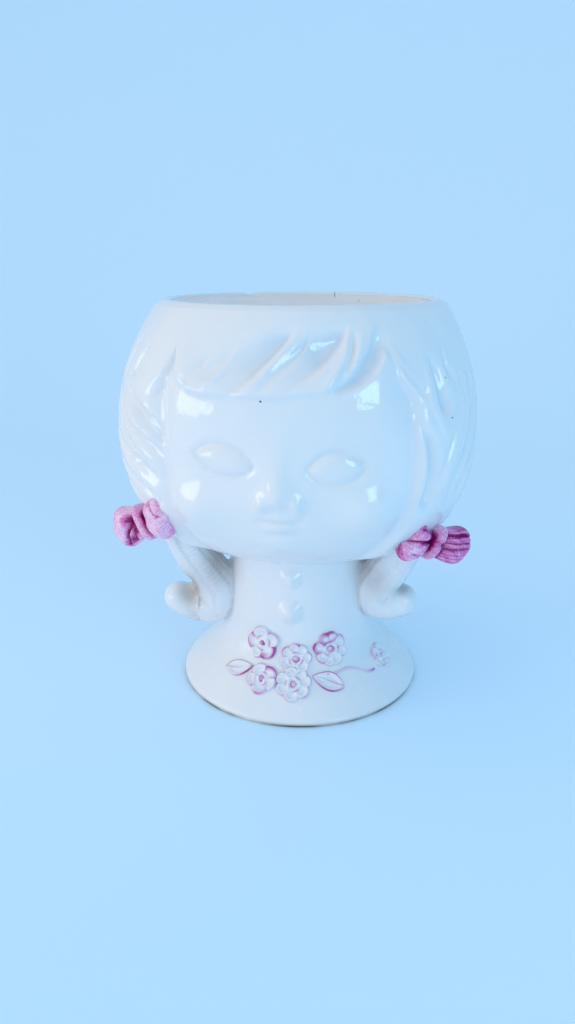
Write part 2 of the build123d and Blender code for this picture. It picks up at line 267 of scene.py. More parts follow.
# %% Lines of the back, the same on both sides
BACK = [
    ([(88, 155), (90, 135), (84, 111), (70, 87)], 5.0, 2.2, -0.55),
    ([(99, 153), (101, 134), (94, 110), (76, 85)], 2.4, 1.6, -0.28),
    ([(110, 155), (110, 131), (101, 105), (80, 81)], 5.0, 2.2, -0.55),
    ([(122, 153), (122, 130), (111, 102), (86, 79)], 2.4, 1.6, -0.28),
    ([(134, 155), (132, 125), (118, 98), (92, 78)], 5.0, 2.2, -0.55),
    ([(146, 153), (145, 122), (130, 95), (100, 77)], 2.4, 1.6, -0.28),
    ([(158, 155), (157, 119), (140, 91), (108, 76)], 5.0, 2.2, -0.55),
    ([(169, 153), (169, 116), (154, 87), (122, 75)], 2.4, 1.6, -0.28),
]
PARTING = [([(180, 157), (180, 133), (180, 107), (180, 81)], 3.0, 3.0, -0.6)]


def across_the_head(lines):
    return [([(-turn, up) for turn, up in line], right, left, rise) for line, left, right, rise in lines]


FRINGE_TAIL, SIDE_TAIL = 0.65, 0.84
LINES = [(*line, FRINGE_TAIL) for line in FRINGE]
LINES += [(*line, SIDE_TAIL) for line in LEFT_SIDE + RIGHT_SIDE + BACK + across_the_head(BACK) + PARTING]
print("lines of hair:", len(LINES))

# %% [markdown]
# ## Hairline
# The face is what the hair leaves bare. Its edge is one closed line. Along the fringe the hair ends in a
# rounded step. Beside the cheeks it starts in a crease and swells up slowly. Degrees round the head are
# turned into millimetres across it, so that widths mean the same both ways. The depth of the grooves has a
# soft floor, since a hard one would show as a flat patch with an outline.

# %% The edge of the face, in degrees and millimetres
HAIRLINE = [
    (-36, 60), (-36, 92), (-36, 112), (-36.5, 124), (-37.5, 133), (-37, 137), (-35.5, 139.5), (-34, 138.5),
    (-30, 136), (-26, 134.5), (-21, 133.5), (-15, 133.6), (-8, 133.6), (-2, 133.4), (5, 134.3), (12, 135.2),
    (19, 136.3), (25, 139), (29, 142.5), (31.5, 146), (33, 149), (34.5, 144.5), (37, 139), (39, 133.5),
    (40, 126), (40.5, 118), (40.5, 108), (40, 98), (38.5, 90), (36, 83), (30, 70), (26, 60),
]
DEGREE = 1.187


def along(line, count):
    line = np.array(line, float)
    steps = np.linspace(0, len(line) - 1, count)
    knots = np.arange(len(line))
    curve = np.stack([np.interp(steps, knots, line[:, k]) for k in (0, 1)], axis=1)
    for _ in range(max(1, count // 6)):
        curve[1:-1] = (curve[:-2] + 2 * curve[1:-1] + curve[2:]) / 4
    return curve * (DEGREE, 1)


def off_line(x, z, x0, z0, wx, wz):
    share = np.clip(((x - x0) * wx + (z - z0) * wz) / (wx * wx + wz * wz), 0, 1)
    return x - x0 - share * wx, z - z0 - share * wz, share


def edge_distance(across, up):
    ring = np.array(HAIRLINE, float) * (DEGREE, 1)
    nearest = np.full(across.shape, 1e9)
    inside = np.zeros(across.shape, bool)
    for (x0, z0), (x1, z1) in zip(ring, np.roll(ring, -1, axis=0)):
        gx, gz, _ = off_line(across, up, x0, z0, x1 - x0, z1 - z0)
        nearest = np.minimum(nearest, np.hypot(gx, gz))
        crosses = (z0 > up) != (z1 > up)
        inside ^= crosses & (across < x0 + (up - z0) * (x1 - x0) / (z1 - z0 + 1e-9))
    return np.where(inside, -nearest, nearest)


# %% Press lines and a facet into the hair
def pressed_line(across, up, line, left, right, rise, tail, pressed):
    curve = along(line, 22)
    reach = 2.6 * max(left, right)
    whole_turn = 360 * DEGREE
    across = across + whole_turn * np.round((curve[:, 0].mean() - across) / whole_turn)
    low, high = curve.min(axis=0) - reach, curve.max(axis=0) + reach
    spot = (across > low[0]) & (across < high[0]) & (up > low[1]) & (up < high[1])
    x, z = across[spot], up[spot]
    nearest, hand, share = np.full(x.shape, 1e9), np.zeros(x.shape), np.zeros(x.shape)
    for step, ((x0, z0), (x1, z1)) in enumerate(zip(curve, curve[1:])):
        wx, wz = x1 - x0, z1 - z0
        gx, gz, part = off_line(x, z, x0, z0, wx, wz)
        gap = np.hypot(gx, gz)
        closer = gap < nearest
        nearest = np.where(closer, gap, nearest)
        hand = np.where(closer, wx * gz - wz * gx, hand)
        share = np.where(closer, (step + part) / (len(curve) - 1), share)
    wide = np.where(hand > 0, left, right) * (0.3 + 0.9 * share)
    ends = fade(0, 0.4, share) * (1 - fade(tail, 1, share))
    pressed[spot] += rise * ends * bell(nearest, wide)


def facet(across, up, corners, soft):
    ring = np.array(corners, float) * (DEGREE, 1)
    depth = np.full(across.shape, -1e9)
    for (x0, z0), (x1, z1) in zip(ring, np.roll(ring, -1, axis=0)):
        length = math.hypot(x1 - x0, z1 - z0)
        depth = np.maximum(depth, ((across - x0) * (z1 - z0) - (up - z0) * (x1 - x0)) / length)
    return fade(soft, -soft, depth)


# %% Relief of the hair, as shares of its thickness
DEEPEST, SOFT_FLOOR, HIGHEST = -1.1, 0.16, 1.15
PLAIN_HAIR, PLAIN_BAND = 0.92, 0.95


def hair_relief(turn, height):
    across, up = np.degrees(turn) * DEGREE, height
    pressed = np.zeros(turn.shape)
    for line in LINES:
        pressed_line(across, up, *line, pressed)
    relief = DEEPEST + SOFT_FLOOR * np.logaddexp(0, (PLAIN_HAIR + pressed - DEEPEST) / SOFT_FLOOR)
    relief = np.minimum(relief, HIGHEST)
    band = fade(153, 161, up)
    relief = relief * (1 - band) + PLAIN_BAND * band
    relief *= 1 - 0.85 * facet(across, up, NOTCH, 1.3)
    gap = edge_distance(across, up)
    side = fade(142, 133, up) * fade(30 * DEGREE, 34 * DEGREE, np.abs(across))
    roll = fade(0.5, 4, gap) * (1 - fade(6, 16, gap)) * fade(129, 133, up) * (1 - side)
    relief += 0.5 * roll * fade(34 * DEGREE, 28 * DEGREE, np.abs(across))
    lip = fade(0, 3.6 + 5.6 * side, gap)
    hem = fade(JOINT + 2.5, JOINT + 7, up)
    crease = np.where(across < 0, 0.32, 0.25) * side * bell(gap - 3, 3.2)
    return (relief * lip - crease) * hem, 1 - lip


# %% [markdown]
# ## Face
# The face is plain and soft: blank almond eyes, a button nose, a small mouth. Each feature is a low
# swelling or groove on the skin: a table holds the plain ones, each with its height, its place across and
# up the face, and its size. The eyes, the tip and wings of the nose and the line of the mouth have shapes
# of their own.


# %% Relief of the face, in millimetres
def almond(across, up, half_width, half_height, tilt):
    c, s = math.cos(math.radians(tilt)), math.sin(math.radians(tilt))
    u, v = across * c + up * s, up * c - across * s
    radius = (half_width**2 + half_height**2) / (2 * half_height)
    upper = np.hypot(u, v + radius - half_height) - radius
    lower = np.hypot(u, v - radius + half_height) - radius
    return np.maximum(upper, lower), upper


def eye_relief(across, up, half_width, half_height, tilt):
    gap, upper = almond(across, up, half_width, half_height, tilt)
    depth = np.clip(-gap / half_height, 0, 1)
    dome = 1.9 * depth * (2 - depth)
    crease = -0.45 * bell(gap, 0.9)
    lid = 0.25 * bell(gap - 2.4, 1.8) * fade(-1, 1, upper + half_height / 2)
    return dome + crease + lid


FEATURES = {
    "left eye socket": (-1.2, -19, 114, 15, 8),
    "right eye socket": (-1.2, 20.5, 113, 15, 8),
    "bridge of the nose": (1.5, -0.3, 111, 6.2, 9),
    "muzzle": (0.9, 1, 93.5, 10, 6),
    "upper lip": (0.7, 1, 93.2, 4.6, 1.4),
    "lower lip": (1.3, 1, 88.8, 4.2, 1.8),
    "chin": (1.5, 0, 81.5, 10, 5.5),
    "dip above the chin": (-0.6, 0, 86.0, 7, 2.0),
    "left cheek": (3.8, -31.5, 93.2, 9.5, 8.5),
    "right cheek": (3.8, 32.3, 94.5, 9.5, 9.5),
}
NOSE_TIP = 100.8


def face_relief(x, z):
    relief = 3.0 * fade(104, 150, z) * (1 - fade(32, 48, np.abs(x)))
    for high, x0, z0, wide, tall in FEATURES.values():
        relief += high * bump(x - x0, z - z0, wide, tall)
    relief += eye_relief(x + 18.7, z - 113.3, 11.2, 5.8, -9)
    relief += eye_relief(x - 20.8, z - 111.7, 10.0, 5.9, 4)
    relief += 3.2 * bump(x - 0.7, z - NOSE_TIP, 5.6, np.where(z > NOSE_TIP, 7.0, 3.6))
    relief += 2.0 * bump(np.abs(x - 1.0) - 6.4, z - 98.6, 2.4, 3.2)
    relief += -0.9 * np.exp(-(((z - 91.3) / 0.8) ** 2) - ((x - 1) / 5.6) ** 4)
    relief += -0.6 * bump(np.abs(x - 1) - 7.0, z - 91.6, 2.0, 2.0)
    return relief


# %% [markdown]
# ## The head as one shell
# An open pot whose hollow runs on into the neck has the topology of a ring: outside, over the rim, down
# the inside and through the throat back to the outside. A torus primitive stops at 256 steps, so the mesh
# starts as a fine grid that is rolled up both ways, and its seams are merged. Columns stand closer
# together at the front, where the face and fringe need them. An attribute records where the glaze is
# tinted bluer and darker in the grooves of the hair, partly as pooled glaze and partly as painted shade. A
# small chip is pressed into the rim at the back on the left.

# %% Roll a grid up into the head
COLUMNS = 440
LOWER_ROWS, UPPER_ROWS, LIP_ROWS, INNER_ROWS, THROAT_ROWS = 84, 96, 10, 24, 10
ROWS = LOWER_ROWS + UPPER_ROWS + LIP_ROWS + INNER_ROWS + THROAT_ROWS
bpy.ops.object.select_all(action="DESELECT")
bpy.ops.mesh.primitive_grid_add(x_subdivisions=COLUMNS, y_subdivisions=ROWS, size=0.1)
head = fresh("glazed_head")
flat = points_of(head)
column = np.rint((flat[:, 0] / 100 + 0.5) * COLUMNS).astype(int) % COLUMNS
row = np.rint((flat[:, 1] / 100 + 0.5) * ROWS).astype(int) % ROWS
u = np.linspace(-1, 1, COLUMNS, endpoint=False)
turns = np.pi * (u + 0.45 * u * (u * u - 1))
angles = np.linspace(0.02, np.pi / 2, LOWER_ROWS, endpoint=False)
low_heights = EQUATOR - (EQUATOR - JOINT) * np.cos(angles) ** (2 / JAW_POWER)
LIP_ROUND = 1.6
LIP_FOOT = HEIGHT - LIP_ROUND
high_heights = np.linspace(EQUATOR, LIP_FOOT, UPPER_ROWS)
turn, height = np.meshgrid(turns, np.concatenate([low_heights, high_heights]), indexing="ij")
skin = on_head(turn, height, 0, 0)
hair = on_head(turn, height, HAIR_RELIEF, HAIR_RIM_RELIEF, HAIR_LEAN)
share, bare = hair_relief(turn, height)
outside = skin + (hair - skin) * share[..., None]
width, front = girth(height, 0, 0)[:2]
out = np.stack([np.sin(turn) / width, -np.cos(turn) / front, 0 * turn], axis=-1)
out /= np.linalg.norm(out, axis=-1, keepdims=True)
outside += out * (face_relief(skin[..., 0], height) * bare)[..., None]


# %% Rim, hollow and throat
def rings(radius, height):
    x, y = np.outer(np.sin(turns), radius), np.outer(-np.cos(turns), radius)
    return np.stack([x, y, np.outer(np.ones(COLUMNS), height)], axis=-1)


lip = np.linspace(0, np.pi, LIP_ROWS + 2)[1:-1]
outer_rim, inner_rim = RIM_RADIUS + HAIR_RIM_RELIEF, RIM_RADIUS - WALL
lip_radius = (outer_rim + inner_rim) / 2 + (outer_rim - inner_rim) / 2 * np.cos(lip)
over = rings(lip_radius, LIP_FOOT + LIP_ROUND * np.sin(lip) ** 0.7)
CHIP_AT, CHIP_WIDE, CHIP_DEEP = np.radians(-146), 0.06, 0.9
over[..., 2] -= CHIP_DEEP * bell(turns - CHIP_AT, CHIP_WIDE)[:, None]
floor_height = JOINT + WALL
fall = np.linspace(0, np.pi / 2, INNER_ROWS)
inner_heights = floor_height + 0.1 + (LIP_FOOT - floor_height) * np.cos(fall) ** 0.9
inner_turn, inner_height = np.meshgrid(turns, inner_heights, indexing="ij")
inside = on_head(inner_turn, inner_height, -WALL, -WALL, 0, floor_height)
tube_rows, ledge_rows = 4, THROAT_ROWS - 4
ledge_radius = np.linspace(THROAT + 1, JAW_RADIUS - 0.2, ledge_rows)
tube_height = np.linspace(floor_height - 0.3, JOINT + 0.1, tube_rows)
throat = rings(
    np.concatenate([np.full(tube_rows, THROAT), ledge_radius]),
    np.concatenate([tube_height, np.full(ledge_rows, JOINT + 0.05)]),
)

# %% Close the shell
shell = np.concatenate([outside, over, inside, throat], axis=1)
move_points(head, shell[column, row])
# Painted shade: this attribute marks the grooves of the hair for a bluer, darker tint, partly pooled glaze.
groove_pool_and_shade = np.zeros((COLUMNS, ROWS))
groove_pool_and_shade[:, : LOWER_ROWS + UPPER_ROWS] = fade(0.7, -0.5, share) * (1 - bare) * fade(95, 112, height)
paint(head, "groove_pool_and_shade", groove_pool_and_shade[column, row])
on_whole_mesh(bpy.ops.mesh.remove_doubles, threshold=0.000001)
settle(head, "white_glaze", "head_pot")

# %% [markdown]
# ## Neck and foot
# The neck was thrown round, so its half section is drawn once and spun about the upright axis: up the
# outside from the foot, over the top edge, down the inside and across the floor, then back under the foot
# ring.

# %% Half section of the neck
NECK_RADIUS, KNEE, FLARE_ROUND = 30.4, (33.8, 21.7), 28.0
SHOULDER, FOOT_RADIUS, FOOT_INSIDE = (51.2, 4.3), 53.0, 45.0
FOOT_RECESS, FLOOR_TOP = 2.0, 7.0


def rounded_corner(before, corner, after, radius, count):
    before, corner, after = (np.array(p, float) for p in (before, corner, after))
    a, b = (before - corner), (after - corner)
    a, b = a / np.linalg.norm(a), b / np.linalg.norm(b)
    half = math.acos(np.clip(a @ b, -1, 1)) / 2
    middle = corner + (a + b) / np.linalg.norm(a + b) * radius / math.sin(half)
    start, end = (corner + way * radius / math.tan(half) - middle for way in (a, b))
    sweep = np.linspace(0, 1, count)
    total = math.acos(np.clip(start @ end / radius**2, -1, 1))
    weights = np.stack([np.sin((1 - sweep) * total), np.sin(sweep * total)], axis=1) / math.sin(total)
    return middle + weights @ np.stack([start, end])


def neck_outline(grow):
    corners = [np.array(p, float) for p in ((NECK_RADIUS, JOINT), KNEE, SHOULDER)]
    side, slope = corners[1] - corners[0], corners[2] - corners[1]
    normals = [np.array([-w[1], w[0]]) / np.linalg.norm(w) for w in (side, slope)]
    knee_way = (normals[0] + normals[1]) / (1 + normals[0] @ normals[1])
    top, knee, edge = (c + n * grow for c, n in zip(corners, (normals[0], knee_way, normals[1])))
    arc = rounded_corner(top, knee, edge, FLARE_ROUND - grow, 26)
    upper = np.linspace(top, arc[0], 22, endpoint=False)
    lower = np.linspace(arc[-1], edge, 12)[1:]
    return np.concatenate([upper, arc, lower])


OUTER_LINE = neck_outline(0)
inner_line = neck_outline(-WALL)
inner_line = inner_line[inner_line[:, 1] > FLOOR_TOP + 1.5]
foot = np.array([
    (FOOT_RADIUS - 0.6, 3.1), (FOOT_RADIUS, 2.2), (FOOT_RADIUS, 1.0), (FOOT_RADIUS - 0.3, 0.3),
    (FOOT_RADIUS - 1, 0.0), (FOOT_INSIDE + 1, 0.0), (FOOT_INSIDE + 0.2, 0.3), (FOOT_INSIDE, 1.4),
    (FOOT_INSIDE - 0.4, FOOT_RECESS), (0.0, FOOT_RECESS),
])
wall_foot = inner_line[-1, 0]
floor_line = np.array([
    (0.0, FLOOR_TOP), (24.0, FLOOR_TOP), (wall_foot - 3.0, FLOOR_TOP), (wall_foot - 0.8, FLOOR_TOP + 0.5),
])
section = np.concatenate([foot[::-1], OUTER_LINE[::-1], inner_line, floor_line[::-1]])

# %% Spin the half section into the neck
bpy.ops.object.select_all(action="DESELECT")
bpy.ops.mesh.primitive_circle_add(vertices=len(section), radius=0.02)
neck = fresh("glazed_neck")
bpy.ops.object.mode_set(mode="EDIT")
bpy.ops.mesh.select_mode(type="EDGE")
bpy.ops.object.mode_set(mode="OBJECT")
move_points(neck, np.stack([section[:, 0], 0 * section[:, 0], section[:, 1]], axis=1))
select_edges(neck, lambda co: co.x < 1e-6)
bpy.ops.object.mode_set(mode="EDIT")
bpy.ops.mesh.delete(type="EDGE_FACE")
bpy.ops.object.mode_set(mode="OBJECT")
on_whole_mesh(bpy.ops.mesh.spin, steps=168, angle=2 * math.pi, center=(0, 0, 0), axis=(0, 0, 1))
on_whole_mesh(bpy.ops.mesh.remove_doubles, threshold=0.00002)
settle(neck, "white_glaze", "neck_pedestal")

# %% [markdown]
# ## Laying pieces on the neck
# Buttons, flowers and leaves lie on the neck like slips of clay. Each is shaped as a low relief on a flat
# sheet and then wrapped: a place across becomes an angle round the neck, a place upwards becomes a length
# along the neck's line, and its height stands on the surface.


# %% Wrap a flat relief onto the neck
LINE_LENGTHS = np.concatenate([[0], np.cumsum(np.linalg.norm(np.diff(OUTER_LINE, axis=0), axis=1))])
LINE_TOTAL = LINE_LENGTHS[-1]


def on_neck(angle, along_share, across, up, rise):
    length = np.clip(along_share * LINE_TOTAL - up, 0, LINE_TOTAL)
    radius = np.interp(length, LINE_LENGTHS, OUTER_LINE[:, 0])
    height = np.interp(length, LINE_LENGTHS, OUTER_LINE[:, 1])
    ways = np.gradient(OUTER_LINE, axis=0)
    ways /= np.linalg.norm(ways, axis=1, keepdims=True)
    way_out = np.interp(length, LINE_LENGTHS, -ways[:, 1])
    way_up = np.interp(length, LINE_LENGTHS, ways[:, 0])
    turn = math.radians(angle) + across / radius
    reach = radius + rise * way_out
    return np.stack([reach * np.sin(turn), -reach * np.cos(turn), height + rise * way_up], axis=-1)


# %% Spheres as raw material: a plain one, and one that is read as a flat disc with two faces
BALL = 10.0


def ball(name, segments, ring_count, rotation=(0, 0, 0)):
    bpy.ops.object.select_all(action="DESELECT")
    bpy.ops.mesh.primitive_uv_sphere_add(
        segments=segments, ring_count=ring_count, radius=BALL * MM, rotation=rotation
    )
    bpy.ops.object.transform_apply(location=False, rotation=True, scale=False)
    piece = fresh(name)
    return piece, points_of(piece) / BALL


def disc(name, segments, ring_count):
    piece, points = ball(name, segments, ring_count)
    polar = np.arccos(np.clip(points[:, 2], -1, 1)) / (np.pi / 2)
    angle = np.arctan2(points[:, 1], points[:, 0])
    reach = np.where(polar <= 1, polar, 2 - polar)
    return piece, reach, angle, polar <= 1.0001


# %% Buttons
def button(place, height_share, radius, swell):
    piece, reach, angle, top = disc(f"glazed_button_{place}", 48, 36)
    grown = reach * radius * 1.25
    dome = swell * np.exp(-((grown / (radius * 0.72)) ** 2.2)) * (1 - fade(0.6, 0.97, reach))
    rise = np.where(top, dome - 0.02 - 0.2 * fade(0.95, 1, reach), -0.5)
    along_share = (JOINT - height_share * JOINT) / LINE_TOTAL
    move_points(piece, on_neck(0, along_share, grown * np.cos(angle), grown * np.sin(angle), rise))
    settle(piece, "white_glaze", f"button_{place}")
    return piece


buttons = [button("upper", 0.85, 5.0, 2.1), button("lower", 0.63, 5.6, 2.6)]

# %% [markdown]
# ## Flowers
# The flowers are pressed rosettes: a rim of scalloped petals raised round a flatter middle with a bead.
# The pink was brushed on and wiped off, so it stays in the hollows and along the petal edges. Each flower
# gets its own place, size, petal count and dabs, and the amount of pink is kept as an attribute for the
# material. The outline is the outer edge of a ring of overlapping circles, one for each petal.

# %% Rosettes with their beads
FLOWERS = {
    1: (-19.0, 0.580, 7.7, 100, (0.45, 0.5, 1.0, 0.45, 0.95)),
    2: (29.0, 0.605, 7.8, 75, (1.0, 0.8, 0.6, 0.45, 0.5, 0.8, 0.9, 1.0)),
    3: (5.0, 0.655, 7.0, 95, (0.75, 0.4, 0.7, 0.35, 0.5, 0.5, 0.45, 0.8)),
    4: (-14.6, 0.800, 7.0, 50, (0.9, 0.3, 0.8, 0.75, 0.4)),
    5: (4.0, 0.81, 7.9, 110, (0.6, 0.45, 0.4, 0.5, 0.5, 0.75, 0.6)),
    6: (67.0, 0.775, 6.2, 80, (0.5, 0.3, 0.45, 0.6, 0.35, 0.5)),
}
PETAL_TIP, BEAD_RADIUS, PINK_BEADS = 0.98, 1.45, (1, 4)


def petal_reach(angle, middle, offset, size):
    turned = np.cos(angle - middle)
    inner = size**2 - offset**2 * (1 - turned**2)
    return np.where(inner > 0, offset * turned + np.sqrt(np.clip(inner, 0, None)), 0)


def flower(number):
    angle0, along_share, radius, first, dabs = FLOWERS[number]
    piece, reach, angle, top = disc(f"glazed_flower_{number}", 144, 64)
    step = 2 * math.pi / len(dabs)
    middles = [math.radians(first) - step * k + 0.14 * math.sin(5 * k + number) for k in range(len(dabs))]
    size = 0.6 * math.sin(step / 2) + 0.15
    sizes = [size * (1 + 0.1 * math.sin(3 * k + 2 * number)) for k in range(len(dabs))]
    edge = np.full(angle.shape, 0.78)
    for middle, size in zip(middles, sizes):
        edge = np.maximum(edge, petal_reach(angle, middle, PETAL_TIP - size, size))
    u, v = reach * edge * np.cos(angle), reach * edge * np.sin(angle)
    heart = np.hypot(u, v)
    gaps = []
    for middle, size in zip(middles, sizes):
        offset = PETAL_TIP - size
        gaps.append(np.hypot(u - offset * math.cos(middle), v - offset * math.sin(middle)) / size)
    gaps = np.stack(gaps)
    nearest, second = np.sort(gaps, axis=0)[:2]
    dab = np.array(dabs)[gaps.argmin(axis=0)]
    rise = 0.4 + 0.9 * bell(nearest - 0.72, 0.3) - 0.3 * bell(heart, 0.34)
    rise = np.where(top, 0.25 + rise * (1 - fade(0.93, 1.0, reach)), -0.4)
    brush = 0.7 + 0.3 * np.sin(5 * angle + 9 * heart + 2 * number)
    line = 0.95 * bell(nearest - 0.88, 0.13)
    line += 0.7 * bell(second - nearest, 0.09) * fade(0.4, 0.65, heart)
    wash = 0.6 * bell(nearest - 0.65, 0.32) * fade(0.65, 1, dab)
    ring = 0.6 * bell(heart - 0.4, 0.06) * (0.5 + 0.5 * np.sin(3 * angle + number))
    pink = (dab * line + wash) * brush * fade(0.3, 0.5, heart) + ring
    move_points(piece, on_neck(angle0, along_share, radius * u, radius * v, rise))
    paint(piece, "pink", np.where(top, pink, 0.3))
    settle(piece, "sprig_glaze", f"flower_{number}")
    bead, reach, angle, top = disc(f"glazed_bead_{number}", 32, 24)
    rise = np.where(top, 0.5 + 1.1 * np.sqrt(np.clip(1 - reach**2, 0, 1)), 0.1)
    reach_out = BEAD_RADIUS * reach * (1 + 0.12 * np.sin(2 * angle + number))
    across, up = reach_out * np.cos(angle), reach_out * np.sin(angle)
    move_points(bead, on_neck(angle0, along_share, across, up, rise))
    blot = 0.75 if number in PINK_BEADS else 0.4
    paint(bead, "pink", blot + 0.35 * np.sin(angle + number) * reach + 0.4 * bell(reach - 0.9, 0.2))
    settle(bead, "sprig_glaze", f"flower_{number}_centre")
    return piece, bead


sprigs = [piece for number in FLOWERS for piece in flower(number)]
print("sprig pieces:", len(sprigs))

# %% [markdown]
# ## Leaves and tendril
# Two pointed leaves with a midrib lie beside the flowers, and a thin stem wanders to the right. The stem
# is a curve with a round bevel that is turned into a mesh. The pigtails start from the same kind of tube.


# %% Leaves
def leaf(side, angle0, along_share, turn, length, width):
    piece, reach, angle, top = disc(f"glazed_leaf_{side}", 112, 48)
    u, v = reach * np.cos(angle), reach * np.sin(angle)
    across = u * length / 2
    up = v * width / 2 * (1 - 0.5 * u * u) * (1 + 0.15 * u) + 0.6 * (1 - u * u)
    rib = bell(v, 0.1) * (1 - fade(0.75, 1, reach))
    rise = 0.2 + 0.7 * fade(0.45, 0.8, reach) * (1 - fade(0.9, 1, reach)) + 0.4 * rib
    rise = np.where(top, rise * (1 - fade(0.93, 1.0, reach)), -0.4)
    c, s = math.cos(math.radians(turn)), math.sin(math.radians(turn))
    move_points(piece, on_neck(angle0, along_share, across * c - up * s, across * s + up * c, rise))
    edge = bell(reach - 0.92, 0.1) * (0.6 + 0.35 * np.sin(2 * angle + turn))
    paint(piece, "pink", np.where(top, edge + 0.45 * rib * fade(-0.9, 0.5, u) + 0.05, 0.2))
    settle(piece, "sprig_glaze", f"leaf_{side}")
    return piece


sprigs.append(leaf("left", -32.0, 0.770, -160, 14, 7.4))
sprigs.append(leaf("right", 24.0, 0.808, -27, 14.5, 8.4))



# %% A round tube along places that have a radius each
def tube(name, places, steps, roundness):
    bpy.ops.object.select_all(action="DESELECT")
    bpy.ops.curve.primitive_nurbs_path_add()
    curve = fresh(name)
    curve.data.splines.clear()
    spline = curve.data.splines.new("NURBS")
    spline.points.add(len(places) - 1)
    for knot, (x, y, z, radius) in zip(spline.points, places):
        knot.co = (x * MM, y * MM, z * MM, 1)
        knot.radius = radius
    spline.order_u = 3
    spline.use_endpoint_u = True
    spline.resolution_u = steps
    curve.data.bevel_depth = MM
    curve.data.bevel_resolution = roundness
    curve.data.use_fill_caps = True
    pick(curve)
    bpy.ops.object.convert(target="MESH")
    return fresh(name)


# %% Tendril
STEM_RADIUS, STEM_RISE = 0.52, 0.25
STEM = [
    (24, 0.755), (29, 0.762), (34, 0.748), (39, 0.745), (44, 0.765), (48, 0.795), (52, 0.822), (56, 0.818),
]
stem_path = [(*on_neck(angle, share, 0, 0, STEM_RISE), STEM_RADIUS) for angle, share in STEM]
stem = tube("glazed_tendril", stem_path, 10, 4)
stem_turn = np.degrees(np.arctan2(points_of(stem)[:, 0], -points_of(stem)[:, 1]))
paint(stem, "pink", 0.3 + 0.5 * bell(stem_turn - 25, 3) + 0.4 * bell(stem_turn - 55, 3))
settle(stem, "sprig_glaze", "tendril")
sprigs.append(stem)

# %% [markdown]
# ## Pigtails
# Each pigtail is a solid lock that hangs beside the neck and curls outwards. It is built as a tapered tube
# along a smooth path, joined with the ball of the curl, a web inside the curl and a thin base on the neck.
# Then it is remeshed into one skin and smoothed, as clay would be with a wet finger. The strands and the
# scooped hollow of the curl are made afterwards by moving points, and the dirt in the hollow and in the
# crevice beside the neck is kept as an attribute.

# %% Clay of a pigtail
PIGTAILS = {
    "left": {
        "sign": -1,
        "path": [
            (49.6, -20, 78, 6.5), (49.3, -20, 70, 7.4), (43.2, -15.6, 57, 8.8), (35.4, -12.4, 43, 10.4),
            (35.6, -12.2, 36, 10.0), (42, -12.3, 32.6, 8.0), (50, -12.4, 34.4, 7.4), (52.6, -12.5, 36, 7.2),
        ],
        "web": (44.0, -12.3, 38.5, 6.4),
        "hollow": (45.6, -19.0, 43.0),
        "squeeze": (1.0, 0.55, 0.62),
        "reach": 4.6,
        "deep": 2.6,
    },
    "right": {
        "sign": 1,
        "path": [
            (47.5, -20, 80, 6.5), (47.2, -20, 73, 7.4), (41.3, -15.6, 60.5, 9.0), (35, -12.4, 48.5, 10.2),
            (35, -12.2, 42.5, 10.0), (39, -12.3, 40.6, 8.8), (43.5, -12.4, 40.6, 7.8),
            (45, -12.5, 41.2, 7.4),
        ],
        "web": (39.5, -12.3, 46.0, 7.4),
        "hollow": (44.6, -14.5, 48.6),
        "squeeze": (0.6, 0.4, 0.9),
        "reach": 2.2,
        "deep": 1.8,
    },
}
BASE_ANGLE, BASE_ALONG, BASE_WIDE, BASE_HIGH = 66, 0.31, 17, 19
BASE_TOP, BASE_UNDER = -0.3, -2.8
CLAY_GRAIN, WET_STROKES = 0.0008, 26


def join(piece, other):
    pick(piece)
    other.select_set(True)
    bpy.ops.object.join()


def work(piece, name, kind, **values):
    step = piece.modifiers.new(name, kind)
    for key, value in values.items():
        setattr(step, key, value)
    bpy.ops.object.modifier_apply(modifier=name)


def clay_lock(side):
    sign, path = PIGTAILS[side]["sign"], PIGTAILS[side]["path"]
    lock = tube(f"glazed_pigtail_{side}", [(sign * x, y, z, radius) for x, y, z, radius in path], 12, 8)
    for x, y, z, radius in (path[-1], PIGTAILS[side]["web"]):
        bpy.ops.object.select_all(action="DESELECT")
        spot = (sign * x * MM, y * MM, z * MM)
        bpy.ops.mesh.primitive_uv_sphere_add(segments=48, ring_count=24, radius=radius * MM, location=spot)
        join(lock, bpy.context.object)
    base, reach, angle, top = disc("luted_base", 64, 32)
    across, up = BASE_WIDE * reach * np.cos(angle), BASE_HIGH * reach * np.sin(angle)
    rise = np.where(top, BASE_TOP, BASE_UNDER)
    move_points(base, on_neck(sign * BASE_ANGLE, BASE_ALONG, across, up, rise))
    join(lock, base)
    work(lock, "clay", "REMESH", mode="VOXEL", voxel_size=CLAY_GRAIN)
    work(lock, "wet_finger", "SMOOTH", factor=0.5, iterations=WET_STROKES)
    work(lock, "finer_skin", "SUBSURF", levels=1, render_levels=1)
    return lock


# %% Comb and scoop the pigtails
STRANDS = [(17, 3, 0.12), (9, 2.5, 0.22), (5, -4, 0.42)]
SAMPLES = 60
CREVICE, CREVICE_REACH = (33, -19, 57), 6.5
CURL_DIRT, CREVICE_DIRT, NECK_DIRT, FOOT_LINE_DARKNESS = 0.76, 0.68, 0.7, 1.2


def crevice_stain(points):
    gap = np.abs(points * (1, 0, 0)) + points * (0, 1, 1) - CREVICE
    return bell(np.linalg.norm(gap * (1, 0.6, 0.6), axis=1), CREVICE_REACH)


